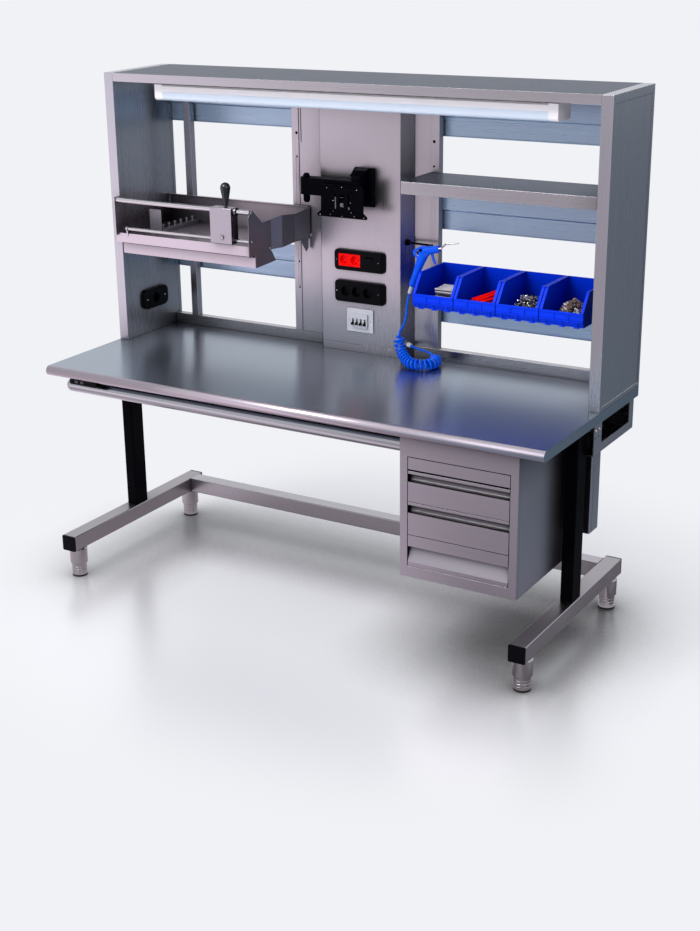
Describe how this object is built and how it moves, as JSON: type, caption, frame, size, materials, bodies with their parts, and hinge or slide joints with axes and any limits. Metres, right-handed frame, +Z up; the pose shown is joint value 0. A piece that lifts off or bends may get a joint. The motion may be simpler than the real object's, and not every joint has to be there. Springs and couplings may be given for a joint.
{
  "type": "height-adjustable packing table",
  "caption": "Stainless steel packing table on lifting columns with a superstructure, cabinet, film cutter, monitor arm, bins and air gun on a coiled hose.",
  "frame": {"origin": "on the floor under the middle of the footprint's box", "axes": "+Z up, +X to the user's right along the worktop, +Y to the back"},
  "size_m": [2, 0.834, 1.861],
  "materials": {
    "dark_steel": "satin",
    "steel": "brushed",
    "rail_steel": "satin",
    "black_metal": "satin powder coat",
    "black_plastic": "matt",
    "black_rubber": "matt",
    "board": "raw",
    "white_metal": "satin",
    "white_plastic": "gloss",
    "diffuser": "frosted",
    "red_plastic": "gloss",
    "blue_plastic": "gloss",
    "blue_hose": "gloss"
  },
  "bodies": {
    "base": {"foot_beams": "dark_steel", "rear_cross_beam": "steel", "beam_end_caps": "black_plastic", "levelling_feet": "steel", "foot_pads": "black_rubber", "column_outers": "black_metal"},
    "drawer_1_body": {"drawer_1": "steel"},
    "drawer_2_body": {"drawer_2": "steel"},
    "drawer_3_body": {"drawer_3": "steel"},
    "drawer_4_body": {"drawer_4": "steel"},
    "up_button_body": {"up_button": "dark_steel"},
    "down_button_body": {"down_button": "dark_steel"},
    "rocker": {"rocker_switch": "black_plastic"},
    "toggles": {"breaker_toggles": "black_plastic"},
    "carriage": {"cutter_carriage": "steel", "carriage_knob": "black_plastic"},
    "arm_inner": {"arm_link_inner": "black_metal"},
    "arm_outer": {"arm_link_outer": "black_metal"},
    "arm_swivel": {"arm_head": "black_metal"},
    "monitor_plate": {"vesa_plate": "black_metal"},
    "trigger": {"gun_trigger": "blue_plastic"},
    "desk": {"column_inners": "black_metal", "worktop": "steel", "worktop_core": "board", "side_brackets": "steel", "cable_tray": "steel", "front_tube": "steel", "tube_brackets": "steel", "hand_control": "black_plastic", "service_box": "steel", "cabinet_shell": "steel", "cheek_left": "steel", "cheek_right": "steel", "canopy": "steel", "lamp_housing": "white_metal", "lamp_diffuser": "diffuser", "lamp_end_caps": "white_plastic", "uprights": "steel", "sill_rails": "steel", "hanging_rails": "rail_steel", "filler_panels": "steel", "tower_shell": "steel", "shelf": "steel", "socket_units": "black_plastic", "red_sockets": "red_plastic", "breaker_plate": "white_plastic", "cheek_socket": "black_plastic", "cutter_tray": "steel", "cutter_end_plate": "dark_steel", "cutter_rods": "steel", "pin_rail": "dark_steel", "arm_bracket": "black_metal", "storage_bins": "blue_plastic", "gun_hook": "black_metal", "gun_body": "blue_plastic", "gun_nozzle": "steel", "hose_upper": "blue_hose", "hose_coil": "blue_hose", "hose_tail": "blue_hose", "hose_fittings": "white_plastic"}
  },
  "joints": [
    {"name": "desk_lift", "type": "slide", "parent": "base", "child": "desk", "axis": [0, 0, 1], "range_m": [0, 0.3]},
    {"name": "drawer_1_slide", "type": "slide", "parent": "desk", "child": "drawer_1_body", "axis": [0, -1, 0], "range_m": [0, 0.4]},
    {"name": "drawer_2_slide", "type": "slide", "parent": "desk", "child": "drawer_2_body", "axis": [0, -1, 0], "range_m": [0, 0.4]},
    {"name": "drawer_3_slide", "type": "slide", "parent": "desk", "child": "drawer_3_body", "axis": [0, -1, 0], "range_m": [0, 0.4]},
    {"name": "drawer_4_slide", "type": "slide", "parent": "desk", "child": "drawer_4_body", "axis": [0, -1, 0], "range_m": [0, 0.4]},
    {"name": "up_button_press", "type": "slide", "parent": "desk", "child": "up_button_body", "axis": [0, 1, 0], "range_m": [0, 0.0015], "stiffness_N_per_m": 800},
    {"name": "down_button_press", "type": "slide", "parent": "desk", "child": "down_button_body", "axis": [0, 1, 0], "range_m": [0, 0.0015], "stiffness_N_per_m": 800},
    {"name": "rocker_tilt", "type": "hinge", "parent": "desk", "child": "rocker", "pos_m": [-0.021, 0.312, 1.1905], "axis": [1, 0, 0], "range_deg": [-16, 0]},
    {"name": "breaker_switch", "type": "hinge", "parent": "desk", "child": "toggles", "pos_m": [-0.062, 0.31, 0.959], "axis": [1, 0, 0], "range_deg": [-45, 0]},
    {"name": "carriage_slide", "type": "slide", "parent": "desk", "child": "carriage", "axis": [1, 0, 0], "range_m": [-0.385, 0.05]},
    {"name": "arm_wall_pivot", "type": "hinge", "parent": "desk", "child": "arm_inner", "pos_m": [-0.037, 0.261, 1.4795], "axis": [0, 0, 1], "range_deg": [-5, 60]},
    {"name": "arm_elbow", "type": "hinge", "parent": "arm_inner", "child": "arm_outer", "pos_m": [-0.254, 0.261, 1.448], "axis": [0, 0, 1], "range_deg": [-90, 0]},
    {"name": "arm_swivel", "type": "hinge", "parent": "arm_outer", "child": "arm_swivel", "pos_m": [-0.081, 0.261, 1.44], "axis": [0, 0, 1], "range_deg": [-7, 7]},
    {"name": "plate_tilt", "type": "hinge", "parent": "arm_swivel", "child": "monitor_plate", "pos_m": [-0.081, 0.242, 1.423], "axis": [1, 0, 0], "range_deg": [-5, 15]},
    {"name": "trigger_pull", "type": "hinge", "parent": "desk", "child": "trigger", "pos_m": [0.267, 0.256, 1.266], "axis": [0, 1, 0], "range_deg": [0, 14], "stiffness_Nm_per_rad": 0.4}
  ]
}
